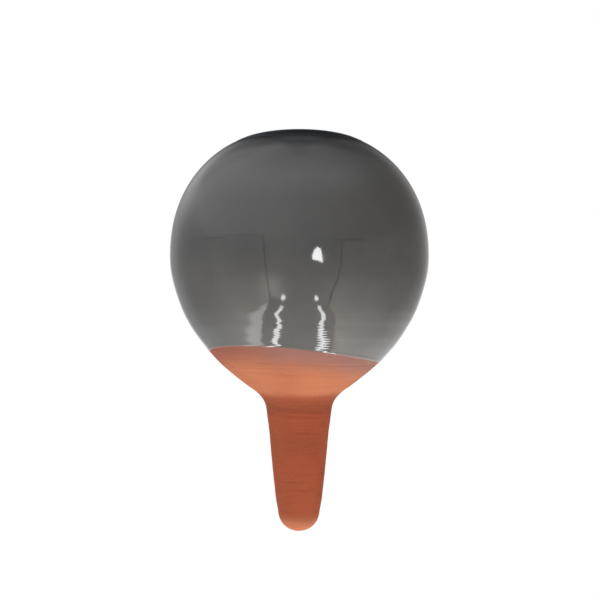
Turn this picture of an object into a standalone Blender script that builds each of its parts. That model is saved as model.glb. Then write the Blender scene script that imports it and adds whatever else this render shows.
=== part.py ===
"""Irrigation olla: a thrown clay ball on a hollow clay spike, dipped in dark glaze, with a loose lid.

The origin is on the axis at the soil line, where the belly of the ball runs into the spike.
Every piece is turned round that axis. Outlines are lists of samples, each a point (radius, height)
with its outward normal, so that walls and glaze lie parallel to the clay at any size.
"""

import math

import bmesh
import bpy
from mathutils import Matrix, Vector

# Ball, clay without glaze, in metres
BALL_RADIUS = 0.0743
WIDEST_HEIGHT = 0.0803
CROWN_RISE = 0.0747
CROWN_FULLNESS = 2.213
BELLY_DROP = 0.0835
BELLY_FULLNESS = 1.719
BALL_WALL = 0.0060

# Spike
NECK_RADIUS = 0.0196
NECK_FILLET = 0.0185
SPIKE_LENGTH = 0.0769
TIP_RADIUS = 0.0125
SPIKE_WALL = 0.0050

# Stepped seat in the ball's mouth, and the lid that drops into it
SEAM_RADIUS = 0.0375
SEAM_GAP = 0.0006
SEAM_ROUNDING = 0.0006
SEAT_DEPTH = 0.0050
SEAT_WIDTH = 0.0085
SEAT_GAP = 0.0003
SHELF_THICKNESS = 0.0050
LID_STAND = 0.0003
LID_RISE = 0.0068
LID_FULLNESS = 2.5
LID_THICKNESS = 0.0050
COLLAR_CLEARANCE = 0.0010
COLLAR_WALL = 0.0048
COLLAR_DEPTH = 0.0090
SOFT_EDGE = 0.0012

# Glaze coat and the wavy line where the dipping stopped
GLAZE_GAP = 0.00025
GLAZE_THICKNESS = 0.0004
DIP_HEIGHT = 0.0244
DIP_TILT = 0.0053
DIP_WAVE = 0.0019
DIP_TURN = math.radians(119)

# Fineness of the turned surfaces
SEGMENTS = 48
CROWN_STEPS = 10
BELLY_STEPS = 10
NECK_STEPS = 4
TIP_STEPS = 5
INNER_SHARE = 0.6
EDGE_STEPS = 3
LID_STEPS = 5

CLAY_COLOUR = (0.42, 0.12, 0.055, 1.0)
GLAZE_COLOUR = (0.085, 0.087, 0.085, 1.0)


def clear_scene():
    """Remove what a new file starts with."""
    for item in list(bpy.data.objects):
        bpy.data.objects.remove(item, do_unlink=True)


def direction(angle):
    """Unit vector in the outline's plane, at an angle above the radius."""
    return Vector((math.cos(angle), math.sin(angle)))


def solve(function, low, high):
    """Value between low and high where a falling function crosses zero."""
    for _ in range(60):
        middle = (low + high) / 2
        if function(middle) > 0:
            low = middle
        else:
            high = middle
    return (low + high) / 2


def steps(start, end, count):
    """Evenly spaced values from start to end, both included."""
    return [start + (end - start) * index / count for index in range(count + 1)]


def offset(samples, distance=0.0):
    """Outline parallel to the samples: outside them for a positive distance, on them for none."""
    return [point + normal * distance for point, normal in samples]


def ball_sample(turn):
    """Sample of the ball: turn runs from the crown's pole (+90 degrees) down to the belly's (-90).

    The outline is a superellipse, (radius / BALL_RADIUS)^n + (height / reach)^n = 1, with one reach
    and one fullness n above the widest level and another pair below it.
    """
    upper = turn >= 0
    fullness = CROWN_FULLNESS if upper else BELLY_FULLNESS
    reach = CROWN_RISE if upper else BELLY_DROP
    side = max(math.cos(turn), 0.0) ** (2 / fullness)
    rise = abs(math.sin(turn)) ** (2 / fullness)
    sign = 1 if upper else -1
    normal = Vector((side ** (fullness - 1) / BALL_RADIUS, sign * rise ** (fullness - 1) / reach))
    return Vector((BALL_RADIUS * side, WIDEST_HEIGHT + sign * reach * rise)), normal.normalized()


def arc(centre, radius, start, end, count):
    """Samples of an arc whose normals point away from its centre, or towards it for a negative radius."""
    return [(centre + direction(angle) * radius, direction(angle)) for angle in steps(start, end, count)]


def angle_of(normal):
    """Angle of a normal above the radius."""
    return math.atan2(normal.y, normal.x)


def crown_turn(radius, depth=0.0):
    """Turn at which the crown, moved inwards by depth, has this radius."""
    def spare(turn):
        point, normal = ball_sample(turn)
        return radius - (point - normal * depth).x
    return solve(spare, math.pi / 2, 0.0)


def tip_centre():
    """Centre of the ball-shaped end of the spike."""
    return Vector((0.0, TIP_RADIUS - SPIKE_LENGTH))


def spike_slope():
    """Angle of the spike's normal: its side is the tangent from the neck's radius to the round tip."""
    to_neck = Vector((NECK_RADIUS, 0.0)) - tip_centre()
    return angle_of(to_neck) - math.acos(TIP_RADIUS / to_neck.length)


def neck_fillet():
    """Turn on the belly where the neck's fillet starts, and the centre of the fillet."""
    side = direction(spike_slope())

    def spare(turn):
        point, normal = ball_sample(turn)
        return (point + normal * NECK_FILLET - Vector((NECK_RADIUS, 0.0))).dot(side) - NECK_FILLET

    turn = solve(spare, 0.0, -math.pi / 2)
    point, normal = ball_sample(turn)
    return turn, point + normal * NECK_FILLET


def ball_outline(start, end, share=1.0):
    """Samples of the ball from the turn start, on the crown, down to the turn end, on the belly."""
    crown = [ball_sample(turn) for turn in steps(start, 0.0, round(CROWN_STEPS * share))]
    belly = [ball_sample(turn) for turn in steps(0.0, end, round(BELLY_STEPS * share))]
    return crown + belly[1:]


def spike_outline(share=1.0):
    """Samples from the end of the belly over the neck's fillet and down the spike to its tip."""
    turn, centre = neck_fillet()
    slope = spike_slope()
    start = angle_of(ball_sample(turn)[1])
    neck = arc(centre, -NECK_FILLET, start, slope, NECK_STEPS)
    tip = arc(tip_centre(), TIP_RADIUS, slope, -math.pi / 2, round(TIP_STEPS * share))
    return neck, tip


def seam_height():
    """Height of the clay surface at the seam between lid and ball."""
    return ball_sample(crown_turn(SEAM_RADIUS))[0].y


def seat_height():
    """Height of the ledge that carries the lid."""
    return seam_height() - SEAT_DEPTH


def mouth_radius():
    """Radius of the opening inside the ledge."""
    return SEAM_RADIUS - SEAT_WIDTH


def lip_outline():
    """Samples of the rounded lip round the seat, from its inner wall over to the crown."""
    wall_radius = SEAM_RADIUS + SEAM_GAP / 2 + GLAZE_GAP + GLAZE_THICKNESS
    turn = crown_turn(wall_radius + SEAM_ROUNDING, SEAM_ROUNDING)
    point, normal = ball_sample(turn)
    lip = arc(point - normal * SEAM_ROUNDING, SEAM_ROUNDING, math.pi, angle_of(normal), EDGE_STEPS)
    return turn, lip


def rounded(corners):
    """Points through (corner, radius) pairs, where each radius above zero turns its corner into an arc."""
    points = []
    for index, (corner, radius) in enumerate(corners):
        if radius == 0:
            points.append(corner)
            continue
        back = (corners[index - 1][0] - corner).normalized()
        ahead = (corners[index + 1][0] - corner).normalized()
        half = back.angle(ahead) / 2
        centre = corner + (back + ahead).normalized() * radius / math.sin(half)
        first = corner + back * radius / math.tan(half) - centre
        last = corner + ahead * radius / math.tan(half) - centre
        for share in steps(0.0, 1.0, EDGE_STEPS):
            points.append(centre + first.lerp(last, share).normalized() * radius)
    return points


def vessel_profile():
    """Outline of the clay: up the inside from the tip, over the seat and lip, and down the outside."""
    neck_turn = neck_fillet()[0]
    shelf_bottom = seat_height() - SHELF_THICKNESS

    def above_shelf(turn):
        point, normal = ball_sample(turn)
        return (point - normal * BALL_WALL).y - shelf_bottom

    shelf_turn = solve(above_shelf, math.pi / 2, 0.0)
    inner_ball = offset(ball_outline(shelf_turn, neck_turn, INNER_SHARE), -BALL_WALL)
    neck, tip = spike_outline(INNER_SHARE)
    walls = steps(BALL_WALL, SPIKE_WALL, NECK_STEPS)
    inner_neck = [point - normal * wall for (point, normal), wall in zip(neck, walls)]
    inner = inner_ball + inner_neck[1:] + offset(tip, -SPIKE_WALL)
    inner.reverse()

    seat = [
        (inner[-2], 0),
        (inner[-1], SOFT_EDGE * 2),
        (Vector((mouth_radius(), shelf_bottom)), SOFT_EDGE),
        (Vector((mouth_radius(), seat_height())), SOFT_EDGE),
        (Vector((vessel_outside()[0][0].x, seat_height())), 0),
    ]
    return inner[:-2] + rounded(seat) + offset(vessel_outside())


def vessel_outside():
    """Samples of the clay's outer surface, from the seat's wall over the lip and down to the tip."""
    lip_turn, lip = lip_outline()
    neck, tip = spike_outline()
    return lip + ball_outline(lip_turn, neck_fillet()[0])[1:] + neck[1:] + tip


def glaze_profile():
    """Closed outline of the ball's glaze, from the seat's wall down past the lowest dip."""
    cover = vessel_outside()
    lowest = DIP_HEIGHT - DIP_TILT - DIP_WAVE
    below = [index for index, (point, _) in enumerate(cover) if point.y < lowest]
    return coat_outline(cover[:below[1] + 1])


def coat_outline(cover):
    """Outline of a coat of glaze over samples of clay: down its outside and back up along the clay."""
    return offset(cover, GLAZE_GAP + GLAZE_THICKNESS) + offset(cover, GLAZE_GAP)[::-1]


def lid_sample(radius):
    """Sample of the lid's dome, which falls from its centre with the power LID_FULLNESS of the radius.

    At the seam it stands LID_STAND above the ball's surface.
    """
    share = radius / SEAM_RADIUS
    height = seam_height() + LID_STAND + LID_RISE * (1 - share ** LID_FULLNESS)
    slope = LID_RISE * LID_FULLNESS * share ** (LID_FULLNESS - 1) / SEAM_RADIUS
    return Vector((radius, height)), Vector((slope, 1.0)).normalized()


def lid_outline():
    """Samples of the lid's domed top from its centre over the rounded edge to the upright side."""
    def inside_edge(radius):
        point, normal = lid_sample(radius)
        return edge_radius - SEAM_ROUNDING - (point - normal * SEAM_ROUNDING).x

    edge_radius = SEAM_RADIUS - SEAM_GAP / 2 - GLAZE_GAP - GLAZE_THICKNESS
    last = solve(inside_edge, 0.0, SEAM_RADIUS)
    dome = [lid_sample(radius) for radius in steps(0.0, last, LID_STEPS)]
    point, normal = dome[-1]
    edge = arc(point - normal * SEAM_ROUNDING, SEAM_ROUNDING, angle_of(normal), 0.0, EDGE_STEPS)
    return dome, edge


def lid_profile():
    """Outline of the lid's clay: over the dome and edge, under the flange and round the hollow collar."""
    dome, edge = lid_outline()
    flange_bottom = seat_height() + SEAT_GAP
    collar_outer = mouth_radius() - COLLAR_CLEARANCE
    collar_inner = collar_outer - COLLAR_WALL
    collar_bottom = seat_height() - COLLAR_DEPTH
    under_dome = [lid_sample(radius) for radius in steps(collar_inner - 2 * SOFT_EDGE, 0.0, LID_STEPS - 2)]
    hollow = offset(under_dome, -LID_THICKNESS)
    under = [
        (edge[-1][0], 0),
        (Vector((edge[-1][0].x, flange_bottom)), SOFT_EDGE / 2),
        (Vector((collar_outer, flange_bottom)), 0),
        (Vector((collar_outer, collar_bottom)), SOFT_EDGE),
        (Vector((collar_inner, collar_bottom)), SOFT_EDGE),
        (Vector((collar_inner, hollow[0].y)), SOFT_EDGE),
        (hollow[0], 0),
    ]
    return offset(dome + edge[1:-1]) + rounded(under) + hollow[1:]


def lid_glaze_profile():
    """Outline of the lid's glaze, from the centre to the side and back along the clay."""
    dome, edge = lid_outline()
    return coat_outline(dome + edge[1:])


def material(name, colour, roughness):
    """Principled material of one colour."""
    made = bpy.data.materials.new(name)
    made.use_nodes = True
    shader = made.node_tree.nodes["Principled BSDF"]
    shader.inputs["Base Color"].default_value = colour
    shader.inputs["Roughness"].default_value = roughness
    shader.inputs["Metallic"].default_value = 0.0
    return made


def turned(name, profile, finish, group, parent):
    """Turn an outline round the axis; one that doesn't start on the axis is closed into a ring."""
    base = parent.location.z
    count = len(profile)
    edges = [(index, index + 1) for index in range(count - 1)]
    if profile[0].x > 0:
        edges.append((count - 1, 0))
    mesh = bpy.data.meshes.new(name)
    mesh.from_pydata([(point.x, 0.0, point.y - base) for point in profile], edges, [])
    mesh.materials.append(finish)
    item = bpy.data.objects.new(name, mesh)
    group.objects.link(item)
    item.parent = parent
    screw = item.modifiers.new("turn", "SCREW")
    screw.steps = SEGMENTS
    screw.render_steps = SEGMENTS
    screw.use_merge_vertices = True
    screw.merge_threshold = 0.00001
    screw.use_smooth_shade = True
    return item


def frame_empty(name, height, group):
    """Empty on the axis that carries the pieces of one body."""
    item = bpy.data.objects.new(name, None)
    item.location = (0.0, 0.0, height)
    group.objects.link(item)
    return item


def dip_level(turn):
    """Height of the glaze's lower edge at an angle round the axis."""
    swing = turn + DIP_TURN
    return DIP_HEIGHT + DIP_TILT * math.cos(swing) + DIP_WAVE * math.cos(2 * swing)


def dip_cutter(group):
    """Drum whose wavy top is the surface of the dip; it takes the glaze away below that surface.

    It is turned by half a segment, so that its edges miss those of the glaze.
    """
    def above_dip(turn):
        return ball_sample(turn)[0].y - DIP_HEIGHT

    line_radius = ball_sample(solve(above_dip, 0.0, -math.pi / 2))[0].x
    drum_radius = BALL_RADIUS * 1.2
    shape = bmesh.new()
    bmesh.ops.create_cone(shape, cap_ends=True, cap_tris=True, segments=SEGMENTS,
                          radius1=drum_radius, radius2=drum_radius, depth=2 * BELLY_DROP)
    half_segment = Matrix.Rotation(math.pi / SEGMENTS, 3, "Z")
    bmesh.ops.rotate(shape, verts=shape.verts, matrix=half_segment)
    for corner in shape.verts:
        if corner.co.z < 0:
            continue
        share = corner.co.xy.length / line_radius
        level = dip_level(math.atan2(corner.co.y, corner.co.x))
        corner.co.z = DIP_HEIGHT + (level - DIP_HEIGHT) * share
    mesh = bpy.data.meshes.new("dip_cutter")
    shape.to_mesh(mesh)
    shape.free()
    item = bpy.data.objects.new("dip_cutter", mesh)
    group.objects.link(item)
    item.hide_render = True
    item.display_type = "WIRE"
    return item


def cut(item, cutter):
    """Take the cutter's volume away from a piece."""
    boolean = item.modifiers.new("dip line", "BOOLEAN")
    boolean.operation = "DIFFERENCE"
    boolean.solver = "EXACT"
    boolean.object = cutter


def build():
    """Make the olla."""
    clear_scene()
    group = bpy.data.collections.new("irrigation_olla")
    cutters = bpy.data.collections.new("cutters")
    for collection in (group, cutters):
        bpy.context.scene.collection.children.link(collection)

    clay = material("terracotta", CLAY_COLOUR, 0.85)
    glaze = material("dark_glaze", GLAZE_COLOUR, 0.12)
    vessel = frame_empty("vessel_axis", 0.0, group)
    lid = frame_empty("lid_axis", seat_height(), group)

    turned("clay_vessel", vessel_profile(), clay, group, vessel)
    coat = turned("glaze_coat", glaze_profile(), glaze, group, vessel)
    cut(coat, dip_cutter(cutters))
    turned("lid_clay", lid_profile(), clay, group, lid)
    turned("lid_glaze", lid_glaze_profile(), glaze, group, lid)


build()
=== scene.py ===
"""Looks of the irrigation olla: finely turned clay, a glaze that stops at its dip line, and a soft studio.

Every piece is an outline carried round the vertical axis. An outline is an array with one row per sample:
radius, height, and the outward normal's radius and height. Angles round the axis start at +X and run
anticlockwise from above, so the photograph's side is at -90 degrees.
"""

import math

import bpy
import numpy as np
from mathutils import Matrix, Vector


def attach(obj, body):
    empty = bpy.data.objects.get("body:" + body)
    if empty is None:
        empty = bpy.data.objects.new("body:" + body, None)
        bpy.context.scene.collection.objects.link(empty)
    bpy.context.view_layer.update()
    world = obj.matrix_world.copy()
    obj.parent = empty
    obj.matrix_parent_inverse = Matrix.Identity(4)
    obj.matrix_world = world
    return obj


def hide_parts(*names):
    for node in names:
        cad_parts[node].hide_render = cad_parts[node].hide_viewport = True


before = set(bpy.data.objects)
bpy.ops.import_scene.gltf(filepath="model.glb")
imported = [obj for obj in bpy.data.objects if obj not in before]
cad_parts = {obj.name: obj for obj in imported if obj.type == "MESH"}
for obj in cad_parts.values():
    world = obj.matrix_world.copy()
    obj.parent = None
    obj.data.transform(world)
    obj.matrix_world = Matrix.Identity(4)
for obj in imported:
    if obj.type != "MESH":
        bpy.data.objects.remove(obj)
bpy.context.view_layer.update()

# The solids' sizes, in metres. The lid's stand, rise and fullness follow the photograph's outline, and its
# solid is up to 0.6 mm fuller.
BALL_RADIUS = 0.0743
WIDEST_HEIGHT = 0.0803
CROWN_RISE = 0.0747
CROWN_FULLNESS = 2.213
BELLY_DROP = 0.0835
BELLY_FULLNESS = 1.719
BALL_WALL = 0.0060
NECK_RADIUS = 0.0196
NECK_FILLET = 0.0185
SPIKE_LENGTH = 0.0769
TIP_RADIUS = 0.0125
SPIKE_WALL = 0.0050
SEAM_RADIUS = 0.0375
SEAM_GAP = 0.0006
SEAT_DEPTH = 0.0050
SEAT_WIDTH = 0.0085
SEAT_GAP = 0.0003
SHELF_THICKNESS = 0.0050
LID_STAND = 0.0001
LID_RISE = 0.0064
LID_FULLNESS = 2.9
LID_THICKNESS = 0.0050
COLLAR_CLEARANCE = 0.0010
COLLAR_WALL = 0.0048
COLLAR_DEPTH = 0.0090
SOFT_EDGE = 0.0012
GLAZE_BUILD = 0.00065
DIP_HEIGHT = 0.0244
DIP_TILT = 0.0053
DIP_WAVE = 0.0019
DIP_TURN = math.radians(119)

# Glaze draws back from an edge: its build there, the clay's rounding under it, the width of the thin strip,
# and how far it runs down the upright wall behind the edge
EDGE_BUILD = 0.00050
EDGE_ROUNDING = 0.00015
EDGE_STRIP = 0.0060
EDGE_DRIP = 0.0024
# Glaze where it ends: its build at the very edge of a sharp corner and of the dip line, the build just above
# the dip line, the width of the round there, and how far the backs of the coat and of the lid's glaze stand
# off the clay
CORNER_BUILD = 0.00006
LEAST_BUILD = 0.00002
DIP_BUILD = 0.00022
DIP_ROUND = 0.0006
BACK_GAP = 0.00004
LID_BACK_GAP = 0.00006
# Relief that the thrower left: heights of the throwing rings, the tool's scratches, the finger rings inside
# and the grooves under the lid, and the depth of the hollow in the front
RING_HEIGHT = 0.000014
SCRATCH_HEIGHT = 0.000008
FINGER_HEIGHT = 0.00022
GROOVE_HEIGHT = 0.00006
HOLLOW_DEPTH = 0.00034
# Distance from the dip line that a material takes for clay or glaze far away from it
AWAY_FROM_DIP = 0.05

BALL_EASING = 0.0050
OUTLINE_SAMPLES = 6000
SEGMENTS = 240


def unit(vectors):
    """Vectors divided by their lengths."""
    return vectors / np.linalg.norm(vectors, axis=-1, keepdims=True)


def joined(*columns):
    """Columns side by side along a new last axis; each is an array or one number for all."""
    return np.stack(np.broadcast_arrays(*columns), axis=-1)


def ball(turns):
    """Ball's outline: (radius / BALL_RADIUS)^n + (height / reach)^n = 1, by the turn from the crown's pole
    (+90 degrees) to the belly's (-90), with one reach and fullness n above the widest level, another below.
    """
    upper = turns >= 0
    fullness = np.where(upper, CROWN_FULLNESS, BELLY_FULLNESS)
    reach = np.where(upper, CROWN_RISE, BELLY_DROP)
    sign = np.where(upper, 1.0, -1.0)
    side = np.clip(np.cos(turns), 0, None) ** (2 / fullness)
    rise = np.abs(np.sin(turns)) ** (2 / fullness)
    points = joined(BALL_RADIUS * side, WIDEST_HEIGHT + sign * reach * rise)
    normals = joined(side ** (fullness - 1) / BALL_RADIUS, sign * rise ** (fullness - 1) / reach)
    return np.hstack([points, unit(normals)])


def bow(centre, radius, start, end, count=60):
    """Arc: centre plus radius times direction; a negative radius gives a hollow whose normals point in."""
    turns = np.linspace(start, end, count)
    normals = joined(np.cos(turns), np.sin(turns))
    return np.hstack([np.asarray(centre) + normals * radius, normals])


def moved(outline, distance):
    """Outline parallel to another, outside it for a positive distance; each sample may have its own."""
    distance = np.broadcast_to(np.asarray(distance, float), len(outline))[:, None]
    return np.hstack([outline[:, :2] + outline[:, 2:] * distance, outline[:, 2:]])


def slope(outline, row):
    """Angle of one sample's normal above the radius."""
    return math.atan2(outline[row, 3], outline[row, 2])


def run(outline):
    """Length along the outline from its first sample to each one."""
    return np.concatenate([[0], np.cumsum(np.linalg.norm(np.diff(outline[:, :2], axis=0), axis=1))])


def at(outline, lengths):
    """Outline at given lengths along it, by straight interpolation of every column."""
    here = run(outline)
    return joined(*[np.interp(lengths, here, column) for column in outline.T])


def spaced(outline, spacing):
    """Outline sampled so that neighbours lie about `spacing` apart, where spacing is given at each sample:
    the lengths at which the running sum of length / spacing reaches evenly divided values.
    """
    here = run(outline)
    steps = np.concatenate([[0], np.cumsum(np.diff(here) / ((spacing[1:] + spacing[:-1]) / 2))])
    wanted = np.linspace(0, steps[-1], int(math.ceil(steps[-1])) + 1)
    return at(outline, np.interp(wanted, steps, here))


def rounded(corners, count=8):
    """Points through (radius, height, rounding) corners; each rounding above zero turns its corner into an
    arc that touches both of its sides.
    """
    points = []
    spots = [np.array(corner[:2]) for corner in corners]
    for index, (_, _, rounding) in enumerate(corners):
        corner = spots[index]
        if rounding == 0:
            points.append(corner[None])
            continue
        back, ahead = unit(spots[index - 1] - corner), unit(spots[index + 1] - corner)
        half = math.acos(np.clip(back @ ahead, -1, 1)) / 2
        centre = corner + unit(back + ahead) * rounding / math.sin(half)
        first = corner + back * rounding / math.tan(half) - centre
        last = corner + ahead * rounding / math.tan(half) - centre
        share = np.linspace(0, 1, count)[:, None]
        points.append(centre + unit(first * (1 - share) + last * share) * rounding)
    return np.concatenate(points)


# Landmarks of the solids, worked out from the ball's outline
CROWN = ball(np.linspace(math.pi / 2, 0, 20001))
BELLY = ball(np.linspace(0, -math.pi / 2, 20001))
SEAM_HEIGHT = float(np.interp(SEAM_RADIUS, CROWN[:, 0], CROWN[:, 1]))
SEAT_HEIGHT = SEAM_HEIGHT - SEAT_DEPTH
MOUTH_RADIUS = SEAM_RADIUS - SEAT_WIDTH
TIP_CENTRE = np.array([0.0, TIP_RADIUS - SPIKE_LENGTH])
TO_NECK = np.array([NECK_RADIUS, 0.0]) - TIP_CENTRE
SPIKE_SLOPE = math.atan2(TO_NECK[1], TO_NECK[0]) - math.acos(TIP_RADIUS / np.linalg.norm(TO_NECK))


def fillet_start():
    """Belly sample where the neck's fillet touches both the belly and the side of the spike."""
    side = np.array([math.cos(SPIKE_SLOPE), math.sin(SPIKE_SLOPE)])
    clear = (BELLY[:, :2] + BELLY[:, 2:] * NECK_FILLET - (NECK_RADIUS, 0.0)) @ side - NECK_FILLET
    return int(np.argmax(clear < 0))


def lip_start(wall_radius):
    """Crown sample where the lip's rounding starts, for a seat wall of this radius."""
    inside = CROWN[:, 0] - CROWN[:, 2] * EDGE_ROUNDING
    return int(np.argmax(inside > wall_radius + EDGE_ROUNDING))


def eased(outline, reach):
    """Outline in which each point is the mean of its neighbours within `reach` on both sides, taken twice,
    with normals at right angles to the new points. The reach shrinks to nothing at both ends. It takes out
    the sudden change of curvature at the widest level, which a mirror-like glaze would show.
    """
    here = run(outline)
    even = np.linspace(0, here[-1], 4000)
    points = at(outline, even)[:, :2]
    for _ in range(2):
        near = np.minimum(np.minimum(even, even[-1] - even), reach)
        sums = np.concatenate([np.zeros((1, 2)), np.cumsum((points[1:] + points[:-1]) / 2 * even[1], axis=0)])
        ahead, back = [joined(*[np.interp(even + sign * near, even, column) for column in sums.T])
                       for sign in (1, -1)]
        near = near[:, None]
        points = np.where(near > 1e-5, (ahead - back) / np.maximum(2 * near, 1e-9), points)
    along = np.gradient(points, axis=0)
    return np.hstack([points, unit(joined(-along[:, 1], along[:, 0]))])


def clay_outside():
    """Clay's outside: lip, crown, belly, neck fillet, straight side of the spike and its ball-shaped tip."""
    first, last = lip_start(SEAM_RADIUS + SEAM_GAP / 2 + EDGE_BUILD), fillet_start()
    lip_centre = CROWN[first, :2] - CROWN[first, 2:] * EDGE_ROUNDING
    lip = bow(lip_centre, EDGE_ROUNDING, math.pi, slope(CROWN, first))
    neck_centre = BELLY[last, :2] + BELLY[last, 2:] * NECK_FILLET
    neck = bow(neck_centre, -NECK_FILLET, slope(BELLY, last), SPIKE_SLOPE)
    tip = bow(TIP_CENTRE, TIP_RADIUS, SPIKE_SLOPE, -math.pi / 2)
    walls = eased(np.concatenate([CROWN[first::20], BELLY[1:last:20]]), BALL_EASING)
    outline = np.concatenate([lip, walls, neck, tip])
    outline = outline[np.concatenate([[True], np.diff(run(outline)) > 1e-7])]
    outline[-1, 0] = 0.0
    return at(outline, np.linspace(0, run(outline)[-1], OUTLINE_SAMPLES))


def fillet_run(outline):
    """Lengths along the outside at which the neck's fillet starts and ends."""
    last = fillet_start()
    end = BELLY[last, 1] + NECK_FILLET * (BELLY[last, 3] - math.sin(SPIKE_SLOPE))
    falling = np.argmax(outline[:, 0])
    return np.interp([-BELLY[last, 1], -end], -outline[falling:, 1], run(outline)[falling:])


TURNS = np.arange(SEGMENTS) * 2 * np.pi / SEGMENTS
OUTSIDE = clay_outside()
FILLET_RUN = fillet_run(OUTSIDE)

# Places where the thrower's hand left the outline fuller or leaner: height, amount, reach, in millimetres
HAND = np.array([
    (62, -0.14, 8), (48, 0.22, 8), (22, 0.06, 6), (13, -0.20, 5), (5, 0.24, 4), (-2, -0.21, 3.5),
    (-20, -0.26, 8), (-45, 0.12, 8), (-57, 0.10, 6), (-66, -0.41, 5),
]) / 1000
# Single turning marks on the bare clay: height, fall per turn, middle angle in degrees, half length in
# degrees, width and depth, in millimetres; a negative depth stands proud
MARKS = [
    (20.6, 9.0, -52, 62, 0.50, 0.16), (19.7, 9.0, -40, 50, 0.45, -0.10), (15.2, 6.0, -120, 40, 0.40, 0.06),
    (5.0, 8.0, -45, 45, 0.35, 0.11), (4.2, 8.0, -30, 40, 0.30, -0.07), (9.5, 8.0, 70, 60, 0.40, 0.10),
    (24.0, 9.0, 60, 50, 0.45, 0.10), (14.0, 7.0, 150, 60, 0.40, 0.09), (-4.6, 5.0, -85, 50, 0.45, 0.14),
    (-6.1, 5.0, -70, 35, 0.40, 0.10), (-9.2, 5.0, -80, 48, 0.50, 0.19), (-12.4, 4.0, -110, 30, 0.40, 0.08),
    (-18.6, 5.0, -70, 40, 0.50, 0.20), (-19.7, 5.0, -100, 35, 0.40, -0.09), (-26.0, 4.0, -60, 30, 0.40, 0.07),
    (-33.0, 4.0, -105, 30, 0.40, 0.07), (-38.4, 4.0, -90, 32, 0.50, 0.15), (-41.5, 4.0, -75, 22, 0.40, 0.10),
    (-46.8, 4.0, -100, 40, 0.45, 0.13), (-50.9, 4.0, -95, 35, 0.50, 0.16), (-57.6, 4.0, -90, 32, 0.50, 0.20),
    (-59.3, 4.0, -80, 26, 0.40, 0.12), (-68.6, 3.0, -100, 60, 0.45, 0.15), (-8.0, 5.0, 90, 60, 0.35, 0.09),
    (-21.0, 5.0, 70, 45, 0.35, 0.10), (-30.0, 4.0, 110, 50, 0.35, 0.08), (-44.0, 4.0, 80, 45, 0.35, 0.09),
    (-55.0, 4.0, 120, 40, 0.35, 0.10), (-63.0, 4.0, 60, 50, 0.35, 0.08), (-15.0, 5.0, 170, 40, 0.35, 0.09),
    (-36.0, 4.0, 10, 40, 0.35, 0.08), (-52.0, 4.0, -10, 40, 0.35, 0.08),
]


def window(value, low, high):
    """Smooth rise from 0 to 1 as the value goes from low to high: 3s^2 - 2s^3."""
    share = np.clip((value - low) / (high - low), 0, 1)
    return share * share * (3 - 2 * share)


def bell(value, middle, reach):
    """Bell of height 1: exp(-((value - middle) / reach)^2)."""
    return np.exp(-((value - middle) / reach) ** 2)


def hand(height):
    """Fuller and leaner places: a sum of bells, each times its amount."""
    return sum(amount * bell(height, place, reach) for place, amount, reach in HAND)


def off_lip(height):
    """Fade of all unevenness to nothing next to the lip, which has to fit the lid."""
    return window(-height, -0.144, -0.133)


def rings(height, turn):
    """Throwing rings as a fine spiral: sines of the height over pitches of 7.4, 4.9 and 1.35 mm that climb
    one pitch per turn, full on the belly and a twentieth of that on the crown. The finest lie only low on
    the belly and are strongest in a narrow strip right of the middle. One hollow that the hand left in the
    front at about 45 mm falls to the right; from its narrow bottom it fades out upwards and downwards by
    exp(-distance / 8 mm).
    """
    size = (0.05 + 0.95 * window(-height, -0.056, -0.048)) * window(height, -0.070, -0.060)
    wave = np.sin(2 * np.pi * height / 0.0074 - turn + 0.9)
    wave = wave + 0.45 * np.sin(2 * np.pi * height / 0.0049 + turn)
    strip = window(np.cos(turn + math.radians(79)), 0.93, 0.985)
    strength = 0.35 + (1.24 + 0.09 * np.cos(2 * np.pi * (height - 0.0400) / 0.0105)) * strip
    fine = strength * window(-height, -0.046, -0.041) * np.sin(2 * np.pi * height / 0.00135 - turn)
    away = height - 0.0448 + 0.0035 * np.cos(turn)
    hollow = HOLLOW_DEPTH * ((1 - np.sin(turn)) / 2) ** 2 * np.exp(-(np.hypot(away, 0.001) - 0.001) / 0.0080)
    return RING_HEIGHT * size * (wave + fine) - hollow


def unround(height, turn):
    """Ball that isn't quite round: slow waves round the axis, 0.01 to 0.06 mm deep."""
    slow = 0.00003 * (np.cos(2 * turn + 0.6) - 1) + 0.000012 * (np.sin(3 * turn + height * 60) - 1)
    return (slow + 0.000006 * (np.sin(7 * turn - height * 140) - 1)) * off_lip(height)


def marks(height, turn):
    """Turning marks: along a line that falls steadily round the axis, minus depth times a bell across it,
    faded out smoothly towards both ends.
    """
    total = 0
    for place, fall, middle, half, width, depth in MARKS:
        swing = (turn - math.radians(middle) + np.pi) % (2 * np.pi) - np.pi
        line = (place - fall * swing / (2 * np.pi)) / 1000
        fade = window(-np.abs(swing), -math.radians(half), -math.radians(half) * 0.4)
        total = total - depth / 1000 * fade * bell(height, line, width / 1000)
    return total


def fine_turning(height, turn):
    """Fine scratches of the turning tool, 0.02 mm deep: sines of the height that slip round the axis."""
    wave = np.sin(height * 5200 + 2 * np.sin(turn)) + np.sin(height * 3300 - 3 * np.sin(turn + 1))
    wave = wave + np.sin(height * 2100 + 2 * np.sin(2 * turn))
    return SCRATCH_HEIGHT * wave * window(-height, -0.030, -0.020)


def dip_level(turn):
    """Height of the glaze's lower edge: DIP_HEIGHT plus a tilt, cos(a), and a wave, cos(2a)."""
    swing = turn + DIP_TURN
    return DIP_HEIGHT + DIP_TILT * np.cos(swing) + DIP_WAVE * np.cos(2 * swing)


def finger_rings(height, turn):
    """Rings that fingers leave inside: a spiral of sines with a pitch of 8.5 mm, 0.22 mm high."""
    fade = window(height, -0.066, -0.050) * window(-height, -0.132, -0.118)
    return FINGER_HEIGHT * fade * np.sin(2 * np.pi * height / 0.0085 - turn)


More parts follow.
